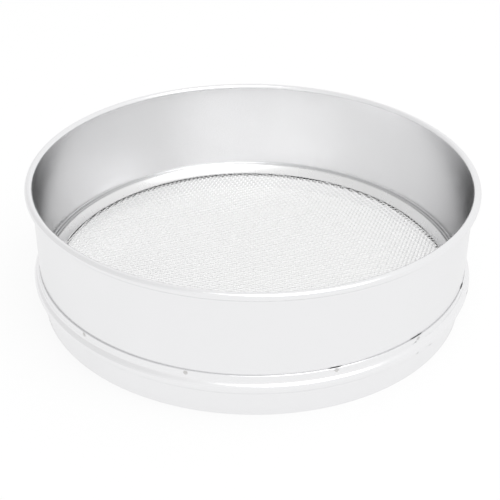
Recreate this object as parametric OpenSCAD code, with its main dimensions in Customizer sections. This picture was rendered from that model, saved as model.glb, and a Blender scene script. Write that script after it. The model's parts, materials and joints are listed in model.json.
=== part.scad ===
// Test sieve: a rolled-rim shell on a pressed skirt, with wire cloth held down by a ring.
// Millimetres, +Z up. The origin is the middle of the circle that the skirt stands on.

/* [Shell] */
// Inside diameter of the shell, which takes a lid or the spigot of another sieve
bore_d = 200; // [80:1:300]
// Height from the foot of the skirt to the top of the rim
total_h = 61.5; // [56:0.5:120]
// Thickness of the shell's sheet
shell_t = 0.6; // [0.4:0.05:1]
// Diameter of the rolled bead round the rim
rim_bead_d = 3.6; // [3:0.1:6]
// Gap between the curled edge of the bead and the wall
curl_gap = 0.25; // [0.1:0.05:0.5]
// Inside radius of the two bends that step the wall in to the cloth's seat
seat_bend_r = 0.65; // [0.6:0.05:1.5]
// Height of the seat's straight wall above the cloth
seat_rise = 3.5; // [1:0.1:4]
// Gap between the seat and the spigot round it
seat_gap = 0.2; // [0.1:0.05:0.3]
// Inside radius of the bend that turns the seat in under the cloth
ledge_bend_r = 0.5; // [0.3:0.1:0.8]
// How far the ledge under the cloth reaches in past the retaining ring
ledge_reach = 0.3; // [0.1:0.1:1]

/* [Wire cloth] */
// Depth from the rim down to the top of the cloth
cloth_depth = 51; // [25:0.5:57]
// Diameter of one wire
wire_d = 0.63; // [0.5:0.01:0.8]
// Distance from wire to wire
wire_pitch = 1.81; // [1.7:0.01:4]
// Direction of the wires, counterclockwise from +X
wire_angle = 72; // [0:1:179]
// Gap between the edge of the cloth and the seat's bend
cloth_gap = 0.1; // [0.05:0.05:0.2]

/* [Retaining ring] */
// Width of the ring
ring_w = 3.7; // [3:0.1:6]
// Height of the ring above the cloth
ring_h = 4.5; // [2:0.1:5]
// Radius of the two edges of the ring's sloping face
ring_edge_r = 0.6; // [0.2:0.1:1]
// Gap between the ring and the seat
ring_gap = 0.1; // [0.05:0.05:0.2]

/* [Skirt] */
// Thickness of the skirt's sheet
skirt_t = 0.6; // [0.4:0.05:0.8]
// Height of the cloth at which the next two heights hold; they grow and shrink with it
level_h = 10.5; // [6:0.5:14]
// Height of the skirt from its foot to the lip of the collar
skirt_h = 21.3; // [19:0.1:26]
// Height of the straight spigot below the shoulder
spigot_h = 11.2; // [7:0.1:12]
// Gap between the spigot and the bore of the sieve it stands in
nest_gap = 0.4; // [0.2:0.05:0.6]
// How far the collar bulges out past the wall of the shell
bulge = 2.7; // [2.3:0.1:3.3]
// Outer radius of the bend at the foot of the bulge
shoulder_r = 1.4; // [1.2:0.1:2]
// Outer radius of the bulge
bulge_r = 2.6; // [2.3:0.1:3]
// Outer radius of the bend where the bulge runs up into the lip
lip_bend_r = 1.5; // [1:0.1:2]
// Gap between the collar's lip and the wall of the shell
lip_gap = 0.15; // [0.05:0.05:0.3]

/* [Spot welds] */
// Diameter of the mark that a weld leaves on the collar
weld_d = 2; // [1.2:0.1:2.4]
// Depth of that mark
weld_depth = 0.15; // [0.05:0.05:0.3]
// Height of the welds below the lip of the collar
weld_drop = 1.1; // [0.9:0.1:2]
// Diameter of the fainter mark on the inside of the wall
inner_mark_d = 1.6; // [1:0.1:2.4]
// Depth of that mark
inner_mark_depth = 0.06; // [0.02:0.02:0.2]

/* [Hidden] */
$fn = 96;
fan = 8;    // corners of the wedge that trims a bend
lap = 0.2;  // degrees by which one bend runs into the next
wire_sides = 6;  // flats round one wire
// Welds set by hand, so their spacing wanders; degrees counterclockwise from +X
weld_angles = [-105, -70, -46, -18, 8, 36, 66, 95, 115, 142, 170, 196, 226];

bore_r = bore_d / 2;
wall_r = bore_r + shell_t;
bead_r = rim_bead_d / 2;
bead_z = total_h - bead_r;
curl_angle = acos((shell_t + curl_gap - bead_r) / bead_r);

spigot_r = bore_r - nest_gap;
spigot_in = spigot_r - skirt_t;
seat_r = spigot_in - seat_gap - shell_t;

cloth_z = total_h - cloth_depth;
cloth_t = 2 * wire_d;
ledge_z = cloth_z - cloth_t;
ring_out = seat_r - ring_gap;
ring_in = ring_out - ring_w;
ledge_in = ring_in - ledge_reach;
cloth_r = seat_r - ledge_bend_r - cloth_gap;
selvage_in = ring_in + ring_edge_r;

seat_top = cloth_z + seat_rise;
step_r = 2 * seat_bend_r + shell_t;
step_angle = acos(1 - (bore_r - seat_r) / step_r);
wall_z = seat_top + step_r * sin(step_angle);

lift = cloth_z - level_h;
spigot_top = spigot_h + lift;
lip_top = skirt_h + lift;
bulge_out = wall_r + bulge;
lip_in = wall_r + lip_gap;
lip_out = lip_in + skirt_t;
foot_sum = shoulder_r + bulge_r;
foot_angle = acos(1 - (bulge_out - spigot_r) / foot_sum);
bulge_z = spigot_top + foot_sum * sin(foot_angle);
head_sum = bulge_r + lip_bend_r;
head_angle = acos(1 - (bulge_out - lip_out) / head_sum);
lip_z = bulge_z + head_sum * sin(head_angle);
weld_z = lip_top - weld_drop;

// Half section of sheet bent to an arc round [x, z], from angle a0 to angle a1
module bend(x, z, inner_r, t, a0, a1) {
  reach = 2 * (inner_r + t);
  translate([x, z])
    intersection() {
      difference() {
        circle(r = inner_r + t);
        circle(r = inner_r);
      }
      polygon([
        [0, 0],
        for (i = [0 : fan])
          let (a = a0 + (a1 - a0) * i / fan) reach * [cos(a), sin(a)]
      ]);
    }
}

// Half section of flat sheet between two opposite corners
module strip(x0, z0, x1, z1) {
  translate([x0, z0]) square([x1 - x0, z1 - z0]);
}

// Sphere that sinks a round mark of diameter d and depth h into a wall, facing +X
module mark(d, h) {
  mark_r = (d * d / 4 + h * h) / (2 * h);
  translate([mark_r - h, 0, 0]) sphere(r = mark_r);
}

// Upper shell: rolled rim, straight wall, step in to the seat and ledge under the cloth
module upper_frame() {
  color("#dcdee0")
    difference() {
      rotate_extrude() {
        bend(bore_r + bead_r, bead_z, bead_r - shell_t, shell_t, -curl_angle, 180);
        strip(bore_r, wall_z, wall_r, bead_z);
        bend(bore_r - seat_bend_r, wall_z, seat_bend_r, shell_t, -step_angle, 0);
        bend(seat_r + shell_t + seat_bend_r, seat_top, seat_bend_r, shell_t, 180 - step_angle - lap, 180);
        strip(seat_r, ledge_z + ledge_bend_r, seat_r + shell_t, seat_top);
        bend(seat_r - ledge_bend_r, ledge_z + ledge_bend_r, ledge_bend_r, shell_t, -90, 0);
        strip(ledge_in, ledge_z - shell_t, seat_r - ledge_bend_r, ledge_z);
      }
      for (a = weld_angles)
        rotate([0, 0, a]) translate([bore_r, 0, weld_z]) rotate([0, 0, 180])
          mark(inner_mark_d, inner_mark_depth);
    }
}

// Skirt: spigot that nests in the next sieve, shoulder, bulged collar and welded lip
module skirt() {
  color("#d6d8da")
    difference() {
      union() {
        rotate_extrude() {
          strip(spigot_in, 0, spigot_r, spigot_top);
          bend(spigot_r + shoulder_r, spigot_top, shoulder_r, skirt_t, 180 - foot_angle - lap, 180);
          bend(bulge_out - bulge_r, bulge_z, bulge_r - skirt_t, skirt_t, -foot_angle, head_angle);
          bend(lip_out + lip_bend_r, lip_z, lip_bend_r, skirt_t, 180, 180 + head_angle + lap);
          strip(lip_in, lip_z, lip_out, lip_top);
        }
        weld_nuggets();
      }
      for (a = weld_angles)
        rotate([0, 0, a]) translate([lip_out, 0, weld_z]) mark(weld_d, weld_depth);
    }
}

// Metal that joins the lip to the wall at each weld
module weld_nuggets() {
  intersection() {
    rotate_extrude() strip(wall_r, lip_z, lip_in + skirt_t / 2, lip_top);
    for (a = weld_angles)
      rotate([0, 0, a]) translate([bore_r, 0, weld_z]) rotate([0, 90, 0])
        cylinder(d = weld_d, h = 2 * skirt_t + shell_t + lip_gap);
  }
}

// Wire cloth: one run of wires across a selvage that the ring presses on the ledge
module wire_cloth() {
  last = floor((selvage_in - wire_d) / wire_pitch);
  end_r = (selvage_in + cloth_r) / 2;
  color("#e2e4e5") {
    rotate_extrude() strip(selvage_in, ledge_z, cloth_r, cloth_z);
    rotate([0, 0, wire_angle])
      for (i = [-last : last])
        let (y = i * wire_pitch, half = sqrt(end_r * end_r - y * y))
          translate([-half, y, ledge_z + cloth_t / 2]) rotate([0, 90, 0])
            cylinder(d = wire_d, h = 2 * half, $fn = wire_sides);
  }
}

// Retaining ring: three-cornered band with a sloping face, pressed in on the cloth
module retaining_ring() {
  foot = [ring_in + ring_edge_r, cloth_z + ring_edge_r];
  head = [ring_out - ring_edge_r, cloth_z + ring_h - ring_edge_r];
  face_angle = 90 + atan2(head.y - foot.y, head.x - foot.x);
  out = ring_edge_r * [cos(face_angle), sin(face_angle)];
  color("#e6e8e9")
    rotate_extrude() {
      polygon([[foot.x, cloth_z], [ring_out, cloth_z], [ring_out, head.y], head + out, foot + out]);
      for (p = [foot, head])
        translate(p) circle(r = ring_edge_r);
    }
}

upper_frame();
skirt();
wire_cloth();
retaining_ring();
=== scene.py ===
import json
import math

import bpy
from mathutils import Euler, Matrix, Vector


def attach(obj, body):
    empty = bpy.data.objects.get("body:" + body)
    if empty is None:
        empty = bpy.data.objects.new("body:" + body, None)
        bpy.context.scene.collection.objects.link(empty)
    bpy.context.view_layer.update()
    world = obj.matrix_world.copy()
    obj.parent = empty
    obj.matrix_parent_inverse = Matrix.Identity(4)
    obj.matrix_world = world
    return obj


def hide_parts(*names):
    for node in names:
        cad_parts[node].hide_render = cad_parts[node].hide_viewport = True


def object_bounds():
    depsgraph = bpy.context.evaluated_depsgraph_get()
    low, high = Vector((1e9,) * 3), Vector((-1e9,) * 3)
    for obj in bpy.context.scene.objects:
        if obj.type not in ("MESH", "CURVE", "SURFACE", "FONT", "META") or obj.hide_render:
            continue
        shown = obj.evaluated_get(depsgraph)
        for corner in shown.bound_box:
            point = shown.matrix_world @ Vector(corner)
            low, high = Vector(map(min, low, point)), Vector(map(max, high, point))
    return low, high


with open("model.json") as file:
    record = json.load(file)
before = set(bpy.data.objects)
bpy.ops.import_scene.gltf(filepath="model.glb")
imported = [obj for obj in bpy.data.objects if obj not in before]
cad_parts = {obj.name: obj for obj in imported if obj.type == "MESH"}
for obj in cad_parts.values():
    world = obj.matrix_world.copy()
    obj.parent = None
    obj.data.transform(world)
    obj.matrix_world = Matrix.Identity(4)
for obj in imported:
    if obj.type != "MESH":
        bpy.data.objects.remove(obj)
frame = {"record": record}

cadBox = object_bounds()
mm = 0.001
print("frame loaded, box", cadBox)


# small tools that the pieces share

def deselectAll():
    if bpy.context.object and bpy.context.object.mode != "OBJECT":
        bpy.ops.object.mode_set(mode="OBJECT")
    bpy.ops.object.select_all(action="DESELECT")


def onlySelect(piece):
    deselectAll()
    piece.select_set(True)
    bpy.context.view_layer.objects.active = piece


def mountRadius(name):
    mount = next(m for m in frame["record"]["mounts"] if m["name"] == name)
    return mount["dims"]["r_mm"]


# points of an arc round (x, z), in degrees, both ends included
def arcPoints(x, z, radius, start, end, steps):
    points = []
    for i in range(steps + 1):
        a = math.radians(start + (end - start) * i / steps)
        points.append((x + radius * math.cos(a), z + radius * math.sin(a)))
    return points


# turns a half section, a closed list of (radius, height) in mm, into a ring of sheet metal
def latheRing(name, outline, turns):
    deselectAll()
    r, z = outline[0]
    bpy.ops.mesh.primitive_circle_add(vertices=turns, radius=r * mm, location=(0, 0, z * mm))
    ring = bpy.context.object
    ring.name = name
    bpy.ops.object.transform_apply(location=True, rotation=True, scale=True)
    bpy.ops.object.mode_set(mode="EDIT")
    bpy.ops.mesh.select_all(action="SELECT")
    for nextR, nextZ in outline[1:] + outline[:1]:
        bpy.ops.mesh.extrude_region_move(TRANSFORM_OT_translate={"value": (0, 0, (nextZ - z) * mm)})
        grow = nextR / r
        bpy.ops.transform.resize(value=(grow, grow, 1), center_override=(0, 0, nextZ * mm))
        r, z = nextR, nextZ
    bpy.ops.mesh.select_all(action="SELECT")
    bpy.ops.mesh.remove_doubles(threshold=0.004 * mm)    # the last loop lands on the first
    bpy.ops.mesh.normals_make_consistent(inside=False)
    bpy.ops.object.mode_set(mode="OBJECT")
    return ring


sharpAngle = 40    # degrees from which an edge stays sharp


def finishPiece(piece, material, slotName, *nodes):
    onlySelect(piece)
    bpy.ops.object.shade_smooth_by_angle(angle=math.radians(sharpAngle))
    piece.data.materials.clear()
    piece.data.materials.append(material)
    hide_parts(*nodes)
    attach(piece, "root")
    print("made", piece.name, len(piece.data.polygons), "faces")


# sizes that more than one piece follows, in mm
boreR = mountRadius("frame_bore")
spigotR = mountRadius("skirt_spigot")
totalH = cadBox[1][2] / mm
sheet = 0.6
wireD = 0.63
clothTop = 10.5    # height of the top of the wire cloth
seatR = spigotR - 2 * sheet - 0.2    # the seat stands 0.2 clear of the spigot round it
ringOut = seatR - 0.1
ringWidth = 3.7


# materials

def linear(hexColour):
    channels = [int(hexColour[i:i + 2], 16) / 255 for i in (1, 3, 5)]
    values = [c / 12.92 if c <= 0.04045 else ((c + 0.055) / 1.055) ** 2.4 for c in channels]
    return (*values, 1)


def startMaterial(name):
    material = bpy.data.materials.new(name)
    material.use_nodes = True
    return material, material.node_tree


# adds a node of a kind, sets its properties and inputs, and links inputs given as sockets
def addNode(tree, kind, settings=None, **inputs):
    node = tree.nodes.new(kind)
    for key, value in (settings or {}).items():
        setattr(node, key, value)
    for key, value in inputs.items():
        byNumber = key[0] == "i" and key[1:].isdigit()    # i0, i1 and so on, where sockets share a name
        socket = node.inputs[int(key[1:]) if byNumber else key.replace("_", " ")]
        if isinstance(value, bpy.types.NodeSocket):
            tree.links.new(value, socket)
        else:
            socket.default_value = value
    return node


# spun and satin-polished stainless sheet: bright, soft reflections, fine lines drawn out round the shell
shellSatin = {
    "colour": "#EFEFF0",
    "edge": 0.94,         # how bright the sheet stays where it is seen from the side
    "roughness": 0.20,
    "cloudRoughness": 0.04,
    "cloudMm": 14,        # size of the faint cloudiness in the polish
    "grainMm": (25, 25, 0.35),    # length and height of one polishing line
    "grainBump": 0.02,
}

# the same sheet inside the shell, with faint upright lines from rolling the blank; its low edge value is
# painted shade that darkens the inner walls where they are seen from the side
insideShadedSatin = {
    "colour": "#F2F2F3",
    # painted shade: the inside walls go dark where they are seen from the side
    "edge": 0.33,
    "roughness": 0.24,
    "cloudRoughness": 0.04,
    "cloudMm": 9,
    "grainMm": (0.9, 0.9, 30),
    "grainBump": 0.05,
}

# the corner above the ring: painted shade, a darker colour that draws a thin dark line round the cloth
# where the groove beside the ring lies in shade
cornerShadeSatin = {
    "colour": "#C9C9CA",
    "edge": 0.6,
    "roughness": 0.36,
    "cloudRoughness": 0.05,
    "cloudMm": 6,
    "grainMm": (0.9, 0.9, 30),
    "grainBump": 0.05,
}

# pressed skirt: as bright as the shell, a little rougher where the die has rubbed it
skirtSatin = {
    "colour": "#F0F0F1",
    "edge": 0.97,
    "roughness": 0.23,
    "cloudRoughness": 0.06,
    "cloudMm": 10,
    "grainMm": (25, 25, 0.35),
    "grainBump": 0.03,
}

# rolled ring: smooth bright strip
ringSatin = {
    "colour": "#E8E8E8",
    "edge": 0.9,
    "roughness": 0.28,
    "cloudRoughness": 0.04,
    "cloudMm": 8,
    "grainMm": (20, 20, 0.4),
    "grainBump": 0.02,
}

# steel tinted and pitted by the heat of a spot weld
weldSatin = {
    "colour": "#D2D1D0",
    "edge": 1.0,
    "roughness": 0.38,
    "cloudRoughness": 0.08,
    "cloudMm": 1.5,
    "grainMm": (0.4, 0.4, 0.4),
    "grainBump": 0.1,
}

# drawn stainless wire: clean, with the soft sheen of the die
wireSatin = {
    "colour": "#F4F4F4",
    "edge": 1.0,
    "roughness": 0.30,
    "cloudRoughness": 0.03,
    "cloudMm": 20,
    "grainMm": (4, 4, 4),
    "grainBump": 0.0,
}


grainDepth = 0.1    # mm from the top to the foot of a line, before its strength


def makeSatin(name, values):
    material, tree = startMaterial(name)
    shader = tree.nodes["Principled BSDF"]
    shader.inputs["Base Color"].default_value = linear(values["colour"])
    shader.inputs["Metallic"].default_value = 1
    shader.inputs["Specular Tint"].default_value = (values["edge"], values["edge"], values["edge"], 1)
    place = addNode(tree, "ShaderNodeTexCoord").outputs["Object"]
    squeeze = [1 / (size * mm) for size in values["grainMm"]]
    lines = addNode(tree, "ShaderNodeMapping", Vector=place, Scale=squeeze)
    grain = addNode(tree, "ShaderNodeTexNoise", Vector=lines.outputs[0], Scale=1.0, Detail=2.0)
    perMetre = 1 / (values["cloudMm"] * mm)
    clouds = addNode(tree, "ShaderNodeTexNoise", Vector=place, Scale=perMetre, Detail=3.0)
    low = values["roughness"] - values["cloudRoughness"]
    high = values["roughness"] + values["cloudRoughness"]
    rough = addNode(tree, "ShaderNodeMapRange", Value=clouds.outputs[0], To_Min=low, To_Max=high)
    tree.links.new(rough.outputs[0], shader.inputs["Roughness"])
    if values["grainBump"]:
        height, strength = grain.outputs[0], values["grainBump"]
        bump = addNode(tree, "ShaderNodeBump", Height=height, Strength=strength, Distance=grainDepth * mm)
        tree.links.new(bump.outputs[0], shader.inputs["Normal"])
    return material


# upper frame: rolled rim, straight wall, step in to the seat, ledge under the cloth

upperFrame = {
    "sheet": sheet,
    "beadD": 3.6,
    "curlGap": 0.25,
    "seatR": seatR,
    "seatBendR": 0.65,
    "seatTop": clothTop + 3.5,
    "ledgeZ": clothTop - 2 * wireD,
    "ledgeIn": ringOut - ringWidth - 0.3,
    "ledgeBendR": 0.5,
    "turns": 384,
}


def makeUpperFrame(values):
    t = values["sheet"]
    beadR = values["beadD"] / 2
    beadZ = totalH - beadR
    curl = -math.degrees(math.acos((t + values["curlGap"] - beadR) / beadR))
    seatR, bendR, ledgeR = values["seatR"], values["seatBendR"], values["ledgeBendR"]
    seatTop, ledgeZ = values["seatTop"], values["ledgeZ"]
    stepR = 2 * bendR + t
    step = math.degrees(math.acos(1 - (boreR - seatR) / stepR))
    wallZ = seatTop + stepR * math.sin(math.radians(step))
    inside = [(values["ledgeIn"], ledgeZ)]
    inside += arcPoints(seatR - ledgeR, ledgeZ + ledgeR, ledgeR, -90, 0, 4)
    inside += arcPoints(seatR + t + bendR, seatTop, bendR + t, 180, 180 - step, 8)
    inside += arcPoints(boreR - bendR, wallZ, bendR, -step, 0, 6)[1:]
    inside += [(boreR, wallZ + (beadZ - wallZ) * i / 6) for i in range(1, 6)]
    bead = arcPoints(boreR + beadR, beadZ, beadR, 180, curl, 28)
    bead += arcPoints(boreR + beadR, beadZ, beadR - t, curl, 180, 20)
    outside = [(boreR + t, beadZ + (wallZ - beadZ) * i / 6) for i in range(1, 6)]
    outside += arcPoints(boreR - bendR, wallZ, bendR + t, 0, -step, 8)
    outside += arcPoints(seatR + t + bendR, seatTop, bendR, 180 - step, 180, 6)[1:]
    outside += arcPoints(seatR - ledgeR, ledgeZ + ledgeR, ledgeR + t, 0, -90, 5)
    outside += [(values["ledgeIn"], ledgeZ - t)]
    return latheRing("upperFrame", inside + bead + outside, values["turns"])


# gives the faces that look in at the sieve's axis the inside finish, which carries painted shade at the
# sides, and the step above the ring a colour of painted shade
def dressInside(piece, values, material, cornerShadeMaterial):
    lookingIn = 0.2    # how far a face turns to the axis before it counts as inside
    onWall = 0.1       # mm from the bore's radius within which a face is the straight wall's
    # the painted corner shade starts a little way down the seat
    shadeLow = values["seatTop"] - 1    # the corner's finish starts a little way down the seat
    piece.data.materials.append(material)
    piece.data.materials.append(cornerShadeMaterial)
    for face in piece.data.polygons:
        x, y, z = face.center / mm
        radius = math.hypot(x, y)
        inward = -(face.normal.x * x + face.normal.y * y) / radius
        if inward > lookingIn and radius < boreR + onWall:
            face.material_index = 2 if radius < boreR - onWall and z > shadeLow else 1


# skirt: spigot, shoulder, bulged collar and the lip that wraps the shell

skirt = {
    "sheet": sheet,
    "height": 21.3,
    "spigotH": 11.2,
    "bulgeOut": boreR + sheet + 2.7,
    "shoulderR": 1.4,
    "bulgeR": 2.6,
    "lipBendR": 1.5,
    "lipOut": boreR + 2 * sheet + 0.15,    # 0.15 from the shell's wall
    "lipTuck": 0.09,    # how far the lip's cut edge leans in towards the shell
    "edgeR": 0.15,
    "turns": 384,
}


def makeSkirt(values):
    t = values["sheet"]
    footSum = values["shoulderR"] + values["bulgeR"]
    foot = math.degrees(math.acos(1 - (values["bulgeOut"] - spigotR) / footSum))
    bulgeZ = values["spigotH"] + footSum * math.sin(math.radians(foot))
    headSum = values["bulgeR"] + values["lipBendR"]
    head = math.degrees(math.acos(1 - (values["bulgeOut"] - values["lipOut"]) / headSum))
    lipZ = bulgeZ + headSum * math.sin(math.radians(head))
    shoulder = (spigotR + values["shoulderR"], values["spigotH"])
    belly = (values["bulgeOut"] - values["bulgeR"], bulgeZ)
    neck = (values["lipOut"] + values["lipBendR"], lipZ)
    edge = values["edgeR"]
    outer = arcPoints(spigotR - edge, edge, edge, -90, 0, 3)
    outer += [(spigotR, values["spigotH"] * i / 3) for i in (1, 2)]
    outer += arcPoints(*shoulder, values["shoulderR"], 180, 180 - foot, 8)
    outer += arcPoints(*belly, values["bulgeR"], -foot, head, 16)[1:]
    outer += arcPoints(*neck, values["lipBendR"], 180 + head, 180, 8)[1:]
    lip = arcPoints(values["lipOut"] - edge, values["height"] - edge, edge, 0, 90, 3)
    lip += [(values["lipOut"] - t - values["lipTuck"], values["height"])]
    inner = arcPoints(*neck, values["lipBendR"] + t, 180, 180 + head, 8)
    inner += arcPoints(*belly, values["bulgeR"] - t, head, -foot, 12)[1:]
    inner += arcPoints(*shoulder, values["shoulderR"] + t, 180 - foot, 180, 8)[1:]
    inner += arcPoints(spigotR - t + edge, edge, edge, 180, 270, 3)
    return latheRing("pressedSkirt", outer + lip + inner, values["turns"])


# spot welds, set by hand, so their spacing wanders
welds = {
    "angles": (-105, -70, -46, -18, 8, 36, 66, 95, 115, 142, 170, 196, 226),    # degrees from +X
    "height": 20.2,
    "outsideD": 2.0,
    "outsideDepth": 0.15,
    "insideD": 1.6,
    "insideDepth": 0.06,
}


# where the lip stands off beside a weld, and the dents in the collar:
# angle, half width in degrees, lowest and highest point, scale on the radius
collarPulls = [
    (-70.6, 1.3, 20.5, 21.4, 1.0030),
    (-46.5, 2.2, 20.5, 21.4, 1.0022),
    (-44.5, 2.4, 14.0, 18.6, 0.9965),
    (-43.8, 1.2, 14.6, 17.6, 0.9975),
    (-19.5, 1.4, 20.5, 21.4, 1.0025),
    (-17.5, 1.0, 15.5, 19.0, 0.9970),
]


# sinks round marks into a wall at every weld; side is 1 for its outside and -1 for its inside
def sinkMarks(piece, values, wallR, side, size, depth):
    ballR = (size * size / 4 + depth * depth) / (2 * depth)
    placeR = wallR + side * (ballR - depth)
    deselectAll()
    bpy.ops.mesh.primitive_uv_sphere_add(segments=64, ring_count=32, radius=ballR * mm)
    ball = bpy.context.object
    balls = []
    for angle in values["angles"]:
        copied = ball.copy()
        copied.data = ball.data.copy()
        bpy.context.collection.objects.link(copied)
        turn = math.radians(angle)
        place = (placeR * math.cos(turn) * mm, placeR * math.sin(turn) * mm, values["height"] * mm)
        copied.data.transform(Matrix.Translation(place) @ Matrix.Rotation(turn, 4, "Z"))
        balls.append(copied)
    bpy.data.objects.remove(ball)
    deselectAll()
    for copied in balls:
        copied.select_set(True)
    bpy.context.view_layer.objects.active = balls[0]
    bpy.ops.object.join()
    cutter = bpy.context.object
    onlySelect(piece)
    sink = piece.modifiers.new("marks", "BOOLEAN")
    sink.operation = "DIFFERENCE"
    sink.solver = "EXACT"
    sink.object = cutter
    bpy.ops.object.modifier_apply(modifier="marks")
    bpy.data.objects.remove(cutter)


# pulls the part of the collar at one angle, between two heights, out or in by a scale on its radius
def pullCollar(piece, angle, spread, low, high, scale):
    onlySelect(piece)
    bpy.ops.object.mode_set(mode="EDIT")
    bpy.ops.mesh.select_all(action="DESELECT")
    bpy.ops.object.mode_set(mode="OBJECT")
    turn = math.radians(angle)
    for corner in piece.data.vertices:
        x, y, z = corner.co / mm
        along = (x * math.cos(turn) + y * math.sin(turn)) / math.hypot(x, y)
        away = math.degrees(math.acos(max(-1, min(1, along))))
        corner.select = away < spread and low < z < high
    bpy.ops.object.mode_set(mode="EDIT")
    bpy.ops.transform.resize(value=(scale, scale, 1), center_override=(0, 0, 0))
    bpy.ops.object.mode_set(mode="OBJECT")


# gives the faces inside the marks the weld's own finish
def dressMarks(piece, values, wallR, size, material):
    nearWall = 0.2    # mm
    slack = 0.05      # mm, so that a mark's own edge counts as inside it
    piece.data.materials.append(material)
    slot = len(piece.data.materials) - 1
    corners = piece.data.vertices
    for face in piece.data.polygons:
        x, y, z = face.center / mm
        if abs(math.hypot(x, y) - wallR) > nearWall or abs(z - values["height"]) > size / 2:
            continue
        turn = math.atan2(y, x)
        nearest = min((math.radians(a) for a in values["angles"]), key=lambda a: 1 - math.cos(a - turn))
        reaches = []
        for i in face.vertices:
            x, y, z = corners[i].co / mm
            sideways = wallR * math.sin(math.atan2(y, x) - nearest)
            reaches.append(math.hypot(sideways, z - values["height"]))
        if max(reaches) < size / 2 + slack:    # the sheet round a mark stays plain
            face.material_index = slot


# retaining ring: smooth band with a sloping face

retainingRing = {
    "outR": ringOut,
    "width": ringWidth,
    "low": clothTop,
    "high": clothTop + 4.5,
    "edgeR": 0.6,
    "turns": 384,
}


def makeRetainingRing(values):
    edge = values["edgeR"]
    footR, headR = values["outR"] - values["width"] + edge, values["outR"] - edge
    footZ, headZ = values["low"] + edge, values["high"] - edge
    faceAngle = 90 + math.degrees(math.atan2(headZ - footZ, headR - footR))
    outline = [(footR, values["low"]), (values["outR"], values["low"])]
    outline += arcPoints(headR, headZ, edge, 0, faceAngle, 6)
    outline += arcPoints(footR, footZ, edge, faceAngle, 270, 6)[:-1]
    return latheRing("retainingRing", outline, values["turns"])


# wire cloth: plain weave, every wire over one and under the next

wireCloth = {
    "pitch": 1.81,
    "wireD": wireD,
    "middleZ": clothTop - wireD,
    "angle": 72,      # degrees from +X that the warp runs
    "endR": 97.2,
    "edgeRoom": 2,    # no wire runs closer than this to the edge of the circle
    "sides": 5,
    "segments": 4,    # pieces of wire in one over and under
}


# one straight run of woven wire along X, starting over the crossing at x = 0
def makeWovenWire(values, length):
    pitch, wireR = values["pitch"], values["wireD"] / 2
    deselectAll()
    standing = (0, math.pi / 2, 0)
    bpy.ops.mesh.primitive_circle_add(
        vertices=values["sides"], radius=wireR * mm, location=(0, 0, wireR * mm), rotation=standing
    )
    wire = bpy.context.object
    bpy.ops.object.transform_apply(location=True, rotation=True, scale=True)
    bpy.ops.object.mode_set(mode="EDIT")
    bpy.ops.mesh.select_all(action="SELECT")
    stride = 2 * pitch / values["segments"]
    for i in range(values["segments"]):
        here = math.cos(math.pi * i * stride / pitch)
        there = math.cos(math.pi * (i + 1) * stride / pitch)
        move = (stride * mm, 0, (there - here) * wireR * mm)
        bpy.ops.mesh.extrude_region_move(TRANSFORM_OT_translate={"value": move})
    bpy.ops.object.mode_set(mode="OBJECT")
    repeat = wire.modifiers.new("repeat", "ARRAY")
    repeat.use_relative_offset = False
    repeat.use_constant_offset = True
    repeat.constant_offset_displace = (2 * pitch * mm, 0, 0)
    repeat.count = math.ceil(length / pitch / 2) + 1
    repeat.use_merge_vertices = True
    repeat.merge_threshold = 0.01 * mm
    bpy.ops.object.modifier_apply(modifier="repeat")
    return wire


# all the wires of one direction, trimmed to the circle that the ring hides
def makeWires(name, values, turn, firstUp):
    pitch, endR = values["pitch"], values["endR"]
    pattern = makeWovenWire(values, 2 * endR + 4 * pitch)
    wires = []
    last = int((endR - values["edgeRoom"]) / pitch)
    for i in range(-last, last + 1):
        wire = pattern.copy()
        wire.data = pattern.data.copy()
        bpy.context.collection.objects.link(wire)
        crossing = -2 * math.ceil(endR / pitch / 2 + 1) + (i + firstUp) % 2    # start left of the edge
        wire.data.transform(Matrix.Translation((crossing * pitch * mm, i * pitch * mm, 0)))
        half = math.sqrt(endR * endR - (i * pitch) ** 2) * mm
        onlySelect(wire)
        bpy.ops.object.mode_set(mode="EDIT")
        for side in (-1, 1):
            bpy.ops.mesh.select_all(action="SELECT")
            cut, outward = (side * half, 0, 0), (side, 0, 0)
            bpy.ops.mesh.bisect(plane_co=cut, plane_no=outward, use_fill=True, clear_outer=True)
        bpy.ops.object.mode_set(mode="OBJECT")
        wires.append(wire)
    bpy.data.objects.remove(pattern)
    deselectAll()
    for wire in wires:
        wire.select_set(True)
    bpy.context.view_layer.objects.active = wires[0]
    bpy.ops.object.join()
    piece = bpy.context.object
    piece.name = name
    piece.rotation_euler = (0, 0, math.radians(values["angle"] + turn))
    piece.location = (0, 0, values["middleZ"] * mm)
    bpy.ops.object.transform_apply(location=True, rotation=True, scale=True)
    bpy.ops.object.mode_set(mode="EDIT")
    bpy.ops.mesh.select_all(action="SELECT")
    bpy.ops.mesh.normals_make_consistent(inside=False)
    bpy.ops.object.mode_set(mode="OBJECT")
    return piece


# the object

weldSteel = makeSatin("heat-tinted stainless weld", weldSatin)
shell = makeUpperFrame(upperFrame)
sinkMarks(shell, welds, boreR, -1, welds["insideD"], welds["insideDepth"])
finishPiece(shell, makeSatin("satin stainless sheet", shellSatin), "frame_steel", "upper_frame")
shadedInsideSteel = makeSatin("dull stainless sheet", insideShadedSatin)
dressInside(shell, upperFrame, shadedInsideSteel, makeSatin("unpolished stainless corner", cornerShadeSatin))
foot = makeSkirt(skirt)
for angle, spread, low, high, scale in collarPulls:
    pullCollar(foot, angle, spread, low, high, scale)
sinkMarks(foot, welds, skirt["lipOut"], 1, welds["outsideD"], welds["outsideDepth"])
finishPiece(foot, makeSatin("pressed stainless sheet", skirtSatin), "skirt_steel", "skirt")
dressMarks(foot, welds, skirt["lipOut"], welds["outsideD"], weldSteel)
ring = makeRetainingRing(retainingRing)
finishPiece(ring, makeSatin("rolled stainless strip", ringSatin), "ring_steel", "retaining_ring")
wireSteel = makeSatin("drawn stainless wire", wireSatin)
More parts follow.
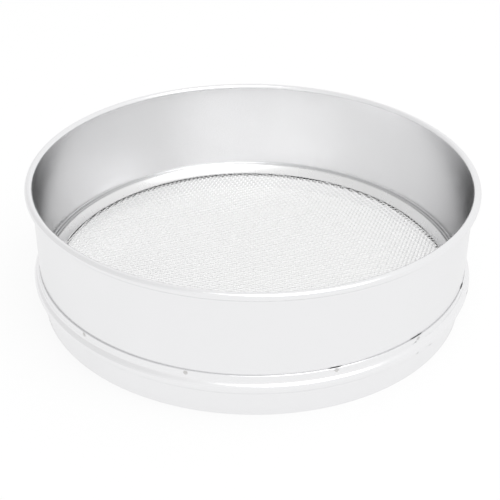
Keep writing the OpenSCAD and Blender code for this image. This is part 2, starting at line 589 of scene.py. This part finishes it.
finishPiece(makeWires("warpWires", wireCloth, 0, 0), wireSteel, "cloth_steel", "wire_cloth")
finishPiece(makeWires("weftWires", wireCloth, 90, 1), wireSteel, "cloth_steel", "wire_cloth")


# camera, in front of the sieve and looking down into it

cameraValues = {
    "lens": 75.6,
    "sensor": 36,
    "nearest": 0.01,    # metres in front of the camera from which things show
    "distance": 515.2,
    "elevation": 33.2,
    "pan": -0.12,
    "tilt": 1.73,
    "roll": -0.65,
}


def placeCamera(values):
    data = bpy.data.cameras.new("camera")
    data.lens = values["lens"]
    data.sensor_width = values["sensor"]
    data.clip_start = values["nearest"]
    camera = bpy.data.objects.new("camera", data)
    bpy.context.scene.collection.objects.link(camera)
    rise = math.radians(values["elevation"])
    distance = values["distance"] * mm
    camera.location = (0, -distance * math.cos(rise), distance * math.sin(rise))
    turn = Euler((math.pi / 2 - rise, 0, 0)).to_matrix()
    turn = turn @ Euler((0, -math.radians(values["pan"]), 0)).to_matrix()
    turn = turn @ Euler((math.radians(values["tilt"]), 0, 0)).to_matrix()
    turn = turn @ Euler((0, 0, -math.radians(values["roll"]))).to_matrix()
    camera.rotation_euler = turn.to_euler()
    bpy.context.scene.camera = camera


placeCamera(cameraValues)
print("camera placed")


# pale floor, white surroundings and one soft light

floorValues = {
    "size": 6,          # metres
    "colour": "#F4F4F4",
    "roughness": 0.9,
    "whiteness": 0.85,    # how much of the floor the camera and the steel see as plain white
}


def makeFloor(values):
    deselectAll()
    bpy.ops.mesh.primitive_plane_add(size=values["size"], location=(0, 0, 0))
    floor = bpy.context.object
    floor.name = "floor"
    material, tree = startMaterial("matt white paper")
    shader = tree.nodes["Principled BSDF"]
    shader.inputs["Base Color"].default_value = linear(values["colour"])
    shader.inputs["Roughness"].default_value = values["roughness"]
    glow = addNode(tree, "ShaderNodeEmission", Color=(1, 1, 1, 1), Strength=1.0)
    path = addNode(tree, "ShaderNodeLightPath")
    either = addNode(tree, "ShaderNodeMath", {"operation": "MAXIMUM"},
                     i0=path.outputs["Is Camera Ray"], i1=path.outputs["Is Glossy Ray"])
    seen = addNode(tree, "ShaderNodeMath", {"operation": "MULTIPLY"},
                   i0=either.outputs[0], i1=values["whiteness"])
    mix = addNode(tree, "ShaderNodeMixShader", i0=seen.outputs[0], i1=shader.outputs[0], i2=glow.outputs[0])
    tree.links.new(mix.outputs[0], tree.nodes["Material Output"].inputs["Surface"])
    floor.data.materials.append(material)


worldValues = {
    "level": 1.0,
    "dimSide": (-0.82, 0.15, 0.55),    # the side of the studio with no wall to throw light back
    "dimLevel": 0.85,
    "dimStart": 0.35,                  # how far round from that side the light is full again
}


def makeWorld(values):
    world = bpy.data.worlds.new("studio")
    bpy.context.scene.world = world
    world.use_nodes = True
    tree = world.node_tree
    background = tree.nodes["Background"]
    background.inputs["Color"].default_value = (1, 1, 1, 1)
    direction = addNode(tree, "ShaderNodeTexCoord").outputs["Generated"]
    toDim = addNode(tree, "ShaderNodeVectorMath", {"operation": "DOT_PRODUCT"},
                    i0=direction, i1=values["dimSide"])
    lit = addNode(tree, "ShaderNodeMapRange", {"interpolation_type": "SMOOTHSTEP"},
                  Value=toDim.outputs["Value"], From_Min=values["dimStart"], From_Max=1,
                  To_Min=values["level"], To_Max=values["dimLevel"])
    path = addNode(tree, "ShaderNodeLightPath")
    seen = addNode(tree, "ShaderNodeMath", {"operation": "MAXIMUM"},
                   i0=path.outputs["Is Camera Ray"], i1=lit.outputs[0])
    tree.links.new(seen.outputs[0], background.inputs["Strength"])


def addSoftbox(name, place, aim, size, watts):
    data = bpy.data.lights.new(name, "AREA")
    data.shape = "RECTANGLE"
    data.size, data.size_y = size
    data.energy = watts
    light = bpy.data.objects.new(name, data)
    bpy.context.scene.collection.objects.link(light)
    light.location = place
    gaze = Matrix.Translation(place).inverted() @ Matrix.Translation(aim)
    light.rotation_euler = gaze.to_translation().to_track_quat("-Z", "Y").to_euler()


makeFloor(floorValues)
makeWorld(worldValues)
addSoftbox("keySoftbox", place=(0.35, -0.45, 1.2), aim=(0, 0, 0.03), size=(0.9, 0.9), watts=5)
print("stage and light placed")

scene = bpy.context.scene
scene.view_settings.view_transform = "Standard"
